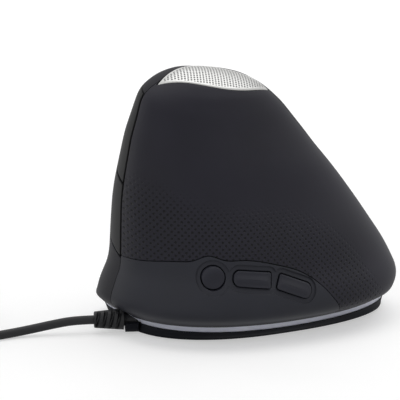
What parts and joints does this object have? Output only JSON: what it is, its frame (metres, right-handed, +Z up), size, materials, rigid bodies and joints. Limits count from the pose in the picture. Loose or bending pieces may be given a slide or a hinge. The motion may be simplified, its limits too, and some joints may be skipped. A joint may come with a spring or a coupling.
{
  "type": "ergonomic mouse",
  "caption": "Upright right-handed corded mouse: tapering moulded shell, wrap-round main buttons, side scroll wheel, thumb buttons, meshed crown plate and a pale ring at the foot.",
  "frame": {"origin": "on the desk, under the middle of the mouse's bounding box, the cord left out", "axes": "+Z up; +Y to the front, where the cord leaves; +X to the finger side, so the thumb side faces -X"},
  "size_m": [0.1226, 0.1932, 0.0878],
  "materials": {
    "top_plate": "satin mesh with a bright rim",
    "shell": "fine matt",
    "panel": "fine matt",
    "button": "satin",
    "base": "matt",
    "light_ring": "frosted, translucent",
    "tyre": "matt",
    "hub": "satin",
    "frame": "matt",
    "board": "lacquered",
    "part": "satin",
    "socket": "satin",
    "lens": "clear",
    "screw": "bright",
    "feet": "slippery",
    "cable": "satin",
    "relief": "matt",
    "plug_shell": "bright",
    "ribbon": "satin"
  },
  "bodies": {
    "mouse_body": {"top_plate": "top_plate", "thumb_shell": "shell", "thumb_panel": "panel", "palm_shell": "button", "base_housing": "base", "light_ring": "light_ring", "inner_frame": "frame", "finger_board": "board", "thumb_board": "board", "main_board": "board", "upper_switch": "part", "lower_switch": "part", "wheel_encoder": "part", "wheel_switch": "part", "thumb_switches": "part", "sensor_chip": "part", "controller_chip": "part", "cable_connector": "socket", "ribbon_sockets": "socket", "ring_lamps": "socket", "sensor_lamp": "part", "sensor_lens": "lens", "thumb_screws": "screw", "finger_screws": "screw", "base_screws": "screw", "board_screws": "screw", "glide_feet": "feet", "strain_relief": "relief", "cable_lead": "cable", "cable_coil": "cable", "cable_tail": "cable", "plug_body": "cable", "plug_shell": "plug_shell", "plug_tongue": "part", "finger_ribbon": "ribbon", "thumb_ribbon": "ribbon"},
    "upper_button": {"upper_button": "button"},
    "lower_button": {"lower_button": "button"},
    "wheel_cradle": {"wheel_cradle": "frame"},
    "scroll_wheel": {"scroll_hub": "hub", "scroll_tyre": "tyre"},
    "dpi_button": {"dpi_button": "panel"},
    "forward_button": {"forward_button": "panel"},
    "back_button": {"back_button": "panel"}
  },
  "joints": [
    {"name": "upper_press", "type": "hinge", "parent": "mouse_body", "child": "upper_button", "pos_m": [0.00942, -0.003, 0.06744], "axis": [-0.3746, 0, 0.9272], "range_deg": [0, 0.7], "stiffness_Nm_per_rad": 1.2},
    {"name": "lower_press", "type": "hinge", "parent": "mouse_body", "child": "lower_button", "pos_m": [0.01916, -0.003, 0.04333], "axis": [-0.3746, 0, 0.9272], "range_deg": [0, 0.7], "stiffness_Nm_per_rad": 1.2},
    {"name": "wheel_press", "type": "slide", "parent": "mouse_body", "child": "wheel_cradle", "axis": [-0.9272, 0, -0.3746], "range_m": [0, 0.0005], "stiffness_N_per_m": 900},
    {"name": "wheel_spin", "type": "hinge", "parent": "wheel_cradle", "child": "scroll_wheel", "pos_m": [0.0192, 0.022, 0.05672], "axis": [-0.3746, 0, 0.9272], "continuous": true},
    {"name": "dpi_press", "type": "slide", "parent": "mouse_body", "child": "dpi_button", "axis": [0.9397, -0.342, 0], "range_m": [0, 0.0006], "stiffness_N_per_m": 600},
    {"name": "forward_press", "type": "slide", "parent": "mouse_body", "child": "forward_button", "axis": [0.9397, -0.342, 0], "range_m": [0, 0.0006], "stiffness_N_per_m": 600},
    {"name": "back_press", "type": "slide", "parent": "mouse_body", "child": "back_button", "axis": [0.9397, -0.342, 0], "range_m": [0, 0.0006], "stiffness_N_per_m": 600}
  ]
}
